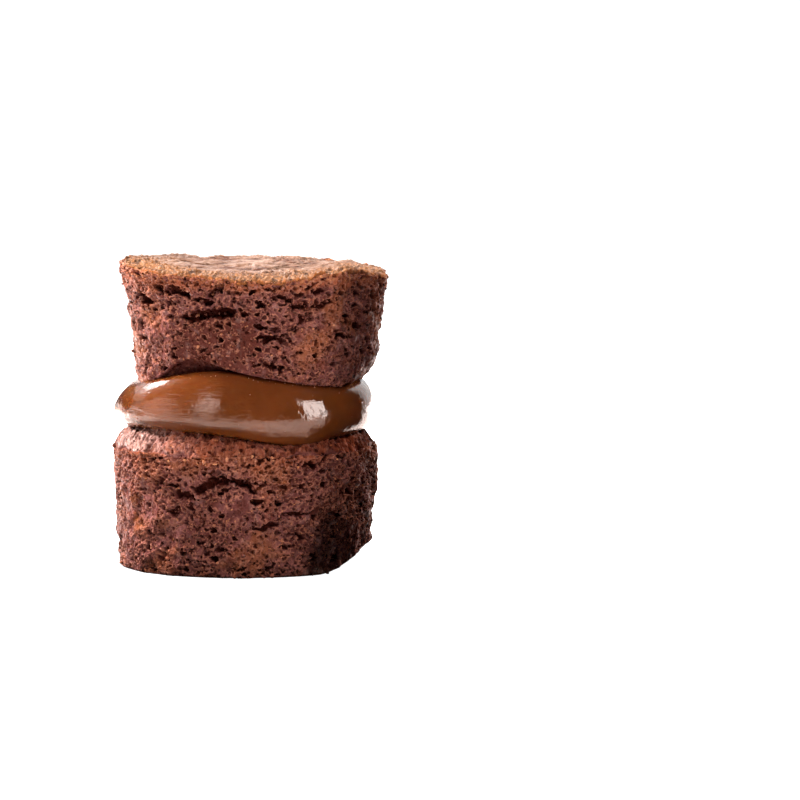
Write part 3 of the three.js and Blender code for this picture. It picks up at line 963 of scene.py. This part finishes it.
def caramelBand(material):
    # Rings: out over the hidden floor, up the bulge as a part ellipse, and in under the upper round.
    # The bulge goes out by the cosine of its turn to a power, and up by the sine.
    look = caramel
    bearing = bearings(look["columns"])
    turn = ringwise(np.linspace(-math.pi / 2, math.pi / 2, look["steps"]))
    low = look["lowerContact"] + bell(bearing, look["sag"])
    inner = np.where(turn < 0, low, look["upperContact"] + 0 * bearing)
    sagging = bell(bearing, look["sag"]) / look["sag"][2]
    widest = rippled(bearing, look["radius"], look["waves"]) + look["sagOut"] * sagging
    waist = rippled(bearing, look["waist"], look["waistWaves"]) - look["sagDown"] * sagging
    floor = lowerTop(low, bearing) - look["overlap"]
    ceiling = underside(look["upperContact"], bearing) + look["overlap"]
    reach = np.where(turn < 0, waist - floor, ceiling - waist)
    fullness = np.cos(turn) ** (1.0 + bell(bearing, look["taper"]) - bell(bearing, look["blunt"]))
    radius = mix(inner, widest, fullness) + bell(bearing, look["tip"]) * np.cos(turn) ** look["tipPower"]
    height = waist + reach * np.sin(turn)
    place = around(radius, bearing, height)
    radius = radius + layered(place, look["skin"]) * np.cos(turn)
    floorRadius = ringwise(look["floorRings"]) + 0 * bearing
    floorHeight = lowerTop(floorRadius, bearing) - look["overlap"]
    ceilingRadius = ringwise(look["ceilingRings"]) + 0 * bearing
    ceilingHeight = underside(ceilingRadius, bearing) + look["overlap"]
    allRadius = np.vstack([floorRadius, radius, ceilingRadius])
    points = around(allRadius, bearing, np.vstack([floorHeight, height, ceilingHeight]))
    smear = smooth(clouds(place, *look["smears"]), *look["smearBand"]) * (1 - bell(bearing, look["clean"]))
    smear = np.maximum(smear, bell(bearing, look["smeared"]))
    # Painted shade near the bulge's foot, and over the whole hidden floor.
    foot = smooth(-turn, *look["contactShadeTurns"]) + 0 * bearing
    facts = padded({"smear": smear, "foot": foot}, len(floorRadius), len(ceilingRadius))
    facts["foot"][:len(floorRadius)] = 1
    turnedSkin("caramel_band", points, facts, material, "caramel_filling")
    return points[look["bulgeRows"]]


looseCrumbs = {"count": 800, "rimShare": 0.25, "sizes": (0.14, 0.42)}
caramelSpecks = {"count": 90, "rimShare": 0.6, "sizes": (0.05, 0.15)}
lumpShape = {
    "rimBand": 0.07, "rimPaleness": 0.2,
    "smallness": 3, "turns": 6,
    "knobs": 0.35, "stretch": (0.5, 1.4),
}


def lumpBall(longestSide=1.2):  # a twenty-sided ball, its sides the joins between the nearest corners
    golden = (1 + math.sqrt(5)) / 2
    near = np.array([(0, a, b * golden) for a in (-1, 1) for b in (-1, 1)])
    ball = np.vstack([near, np.roll(near, 1, axis=1), np.roll(near, 2, axis=1)])
    ball /= np.linalg.norm(ball[0])
    apart = np.linalg.norm(ball[:, None] - ball[None, :], axis=-1)
    joined = (apart > 0) & (apart < longestSide)
    a, b, c = np.nonzero(joined[:, :, None] & joined[:, None, :] & joined[None, :, :])
    outwards = np.einsum("ij,ij->i", np.cross(ball[b] - ball[a], ball[c] - ball[a]), ball[a]) > 0
    keep = outwards & (a < b) & (a < c)
    return ball, np.stack([a, b, c], axis=-1)[keep]


def crumbLumps(name, skin, look, material, solid, seed):
    # Twenty-sided lumps, each of its own size and turn, sunk in a skin and joined into one mesh.
    chosen = np.random.default_rng(seed)
    draw = chosen.random((look["count"], 5))
    atRim = draw[:, 0] < look["rimShare"]
    climbed = np.where(atRim, 1 - lumpShape["rimBand"] * draw[:, 1], draw[:, 1])
    row = ((len(skin) - 1) * climbed).astype(int)
    centre = skin[row, (draw[:, 2] * skin.shape[1]).astype(int)]
    size = mix(*look["sizes"], draw[:, 3] ** lumpShape["smallness"])
    ball, faces = lumpBall()
    turn = draw[:, 4, None] * lumpShape["turns"]
    x, y, z = ball.T[:, None, :]
    spunX = x * np.cos(turn) - y * np.sin(turn)
    spunY = x * np.sin(turn) + y * np.cos(turn)
    spun = np.stack([spunX, spunY, z + 0 * turn], axis=-1)
    knobs = 1 + lumpShape["knobs"] * chosen.uniform(-1, 1, spun.shape[:2])[..., None]
    knobs = knobs * chosen.uniform(*lumpShape["stretch"], (len(size), 1, 3))
    points = centre[:, None, :] + spun * knobs * size[:, None, None]
    triangles = faces[None] + len(ball) * np.arange(len(size))[:, None, None]
    corners, faces = points.reshape(-1, 3), triangles.reshape(-1, 3).tolist()
    shade = np.repeat(draw[:, 4] + lumpShape["rimPaleness"] * atRim, len(ball))
    dressed(name, corners, faces, {"shade": shade}, material, solid)


studio = {
    "cameraPlace": (0.029, -1.0, 0.1175), "cameraPitch": 4.94,
    "lens": 240, "sensor": 36, "clip": (0.01, 20), "aim": (0.0, 0.0, 0.03),
    "tableHalf": 1.5, "tableDrop": 0.02,
    "tableTones": ((0.08, 0.08, 0.08, 1), (0.5, 0.5, 0.5, 1)),
    "tableGlow": (1.5, 0.3),  # for mirrors, then for soft light
    "tableTint": (1, 0.6, 0.45, 1),
    "tableSeen": 1.05,
    "shadowEdge": (0.85, 1.15),
    "shadows": [(0, 0, 0.0405), (0.062, -0.008, 0.026), (-0.046, -0.012, 0.03)],
    "dull": 0.9, "cardTone": (0.02, 0.012, 0.01, 1), "panelFade": 0.6,
    "roomBand": (0.0, 0.7, 0.05, 1.3), "roomSoft": 0.45, "roomSeen": 1.1,
    # two ends on the floor, lowest and highest, then whether mirrors and soft light meet it
    "cards": {
        "flag": ((34, -21), (34, 4), (0.3, 57), True, True),
        "left flag": ((-114, 45), (-42, 96), (33, 65), True, False),
        "left back": ((-70, 22), (-70, 68), (0.3, 98), False, True),
        "right back": ((65, 50), (65, 130), (0.3, 84), False, True),
    },
    "shadePlane": -27,
    "shadeOutline": [
        (14, 0.3), (15, 12), (17.5, 21.5), (26, 27), (28, 46),
        (20, 50), (22, 60), (24, 80), (45, 80), (45, 0.3),
    ],
    # bearing, elevation, distance, width, height, power, then whether mirrors and soft light meet it
    "softboxes": {
        "left key": (-113, 36, 0.55, 0.1, 0.1, 15.0, False, True),
        "left low": (-92, 13, 0.55, 0.1, 0.1, 3.6, False, True),
        "left window": (-146, 32, 0.55, 0.34, 0.09, 1.3, True, True),
        "right window": (70.5, 14, 0.6, 0.22, 0.34, 3.3, True, False),
        "right form": (24, 44, 0.6, 0.1, 0.1, 2.5, False, True),
        "right rear": (143, 20, 0.6, 0.12, 0.14, 20.0, False, True),
        "top": (-20, 83, 0.5, 0.14, 0.14, 1.1, False, True),
        "form key": (-48, 52, 0.6, 0.12, 0.12, 1.6, False, True),
    },
    # bearing, elevation, distance, half width, half height, strength, colour
    "panels": {
        "left front": (-40, 17, 0.5, 0.13, 0.12, 7.5, (1, 0.82, 0.76)),
        "left wall": (-84, 10, 0.5, 0.22, 0.18, 2.6, (1, 0.73, 0.65)),
    },
}


def sheet(name, corners, material, *where, **seen):  # a flat face of the studio's
    mesh = newMesh(name, corners, [tuple(range(len(corners)))], material)
    placed(name, mesh, *where, **seen)


def table():  # a white board that glows, dark close round the foot and in two patches beside it
    material, shader = newMaterial("white table")
    place = ownPlace(shader)
    clear = 1.0
    for x, y, reach in studio["shadows"]:
        away = vectorMath("DISTANCE", place, (x, y, 0))["Value"]
        inner, outer = (reach * share for share in studio["shadowEdge"])
        clear = times(spread(away, inner, outer), clear)
    rays = node(shader, "ShaderNodeLightPath").outputs
    glow = times(clear, spread(rays["Is Diffuse Ray"], 0, 1, *studio["tableGlow"]))
    setShader(shader, {
        "Base Color": blendColour(clear, *studio["tableTones"]),
        "Roughness": studio["dull"],
        "Emission Color": blendColour(rays["Is Glossy Ray"], (1, 1, 1, 1), studio["tableTint"]),
        "Emission Strength": seenBy(rays["Is Camera Ray"], glow, studio["tableSeen"]),
    })
    sheet("table", flatCorners(studio["tableHalf"], studio["tableHalf"], -studio["tableDrop"] * mm), material)


def card(name, corners, mirrored, soaked):
    # A dark card that the camera doesn't see. It can be left out of mirrors, or of soft light and shadow.
    material, shader = newMaterial(name)
    setShader(shader, {"Base Color": studio["cardTone"], "Roughness": studio["dull"]})
    sheet(
        name, (np.array(corners) * mm).tolist(), material,
        visible_camera=False, visible_glossy=mirrored, visible_diffuse=soaked, visible_shadow=soaked,
    )


def flatCorners(width, height, level):  # the corners of a level sheet, from its half width and half height
    return [(x * width, y * height, level) for x, y in ((-1, -1), (1, -1), (1, 1), (-1, 1))]


def upright(first, last, rise):  # the corners of a card that stands up between two places
    low, high = rise
    return [(*first, low), (*last, low), (*last, high), (*first, high)]


def spot(bearing, elevation, distance):  # a place round the aim, and the turn that faces the aim from there
    a, e = math.radians(bearing), math.radians(elevation)
    x, y, z = studio["aim"]
    level = distance * math.cos(e)
    place = (x + level * math.sin(a), y - level * math.cos(a), z + distance * math.sin(e))
    return place, (math.radians(90 - elevation), 0, a)


def softbox(name, bearing, elevation, distance, width, height, power, mirrored, soaked):
    light = bpy.data.lights.new(name, "AREA")
    light.shape = "RECTANGLE"
    light.size, light.size_y = width, height
    light.energy = power
    seen = {"visible_camera": False, "visible_glossy": mirrored, "visible_diffuse": soaked}
    placed(name, light, *spot(bearing, elevation, distance), **seen)


def panel(name, bearing, elevation, distance, width, height, strength, colour):
    # A sheet of light with soft edges, seen in mirrors only: its strength falls off away from its middle.
    material, shader = newMaterial(name)
    scaled = vectorMath("MULTIPLY", ownPlace(shader), (1 / width, 1 / height, 1))["Vector"]
    away = vectorMath("LENGTH", scaled)["Value"]
    setShader(shader, {
        "Base Color": (0, 0, 0, 1),
        "Specular IOR Level": 0,
        "Emission Color": (*colour, 1),
        "Emission Strength": spread(away, studio["panelFade"], 1.0, strength, 0),
    })
    where = spot(bearing, elevation, distance)
    sheet(name, flatCorners(width, height, 0), material, *where, visible_camera=False, visible_diffuse=False)


def lightRoom():  # a room that is dark in front and light behind, and white to the camera
    world = bpy.data.worlds.new("room")
    bpy.context.scene.world = world
    world.use_nodes = True
    background = world.node_tree.nodes["Background"]
    facing = node(background, "ShaderNodeTexCoord").outputs["Generated"]
    northward = node(background, "ShaderNodeSeparateXYZ", facing).outputs["Y"]
    rays = node(background, "ShaderNodeLightPath").outputs
    behind = spread(northward, *studio["roomBand"])
    behind = times(behind, spread(rays["Is Diffuse Ray"], 0, 1, 1, studio["roomSoft"]))
    brightness = seenBy(rays["Is Camera Ray"], behind, studio["roomSeen"])
    setShader(background, {"Color": (1, 1, 1, 1), "Strength": brightness})


def setCamera():
    lens = bpy.data.cameras.new("camera")
    lens.lens = studio["lens"]
    lens.sensor_width = studio["sensor"]
    lens.clip_start, lens.clip_end = studio["clip"]
    turn = (math.radians(90 - studio["cameraPitch"]), 0, 0)
    bpy.context.scene.camera = placed("camera", lens, studio["cameraPlace"], turn)


setCamera()
table()
lightRoom()
for name, (first, last, rise, mirrored, soaked) in studio["cards"].items():
    card(name, upright(first, last, rise), mirrored, soaked)
card("shade", [(x, studio["shadePlane"], z) for x, z in studio["shadeOutline"]], False, True)
for name, settings in studio["softboxes"].items():
    softbox(name, *settings)
for name, settings in studio["panels"].items():
    panel(name, *settings)
bpy.context.scene.view_settings.view_transform = "Standard"
print("studio ready")

crumb = crumbMaterial()
crust = crustMaterial()
loose = looseMaterial()
lowerSide = crumbSkin("brownie_lower_crumb", lower, crumb, "brownie_lower", 21)
crumbLumps("brownie_lower_crumbs", lowerSide, looseCrumbs, loose, "brownie_lower", 61)
crustSkin("brownie_lower_crust", lower, 1.4, crumb, "brownie_lower", 41)
print("lower round ready")
upperSide = crumbSkin("brownie_upper_crumb", upper, crumb, "brownie_upper", 31)
crumbLumps("brownie_upper_crumbs", upperSide, looseCrumbs, loose, "brownie_upper", 71)
crustSkin("brownie_upper_crust", upper, 0.26, crust, "brownie_upper", 51)
print("upper round ready")
bulge = caramelBand(caramelMaterial())
crumbLumps("caramel_specks", bulge, caramelSpecks, loose, "caramel_filling", 81)
print("caramel ready")
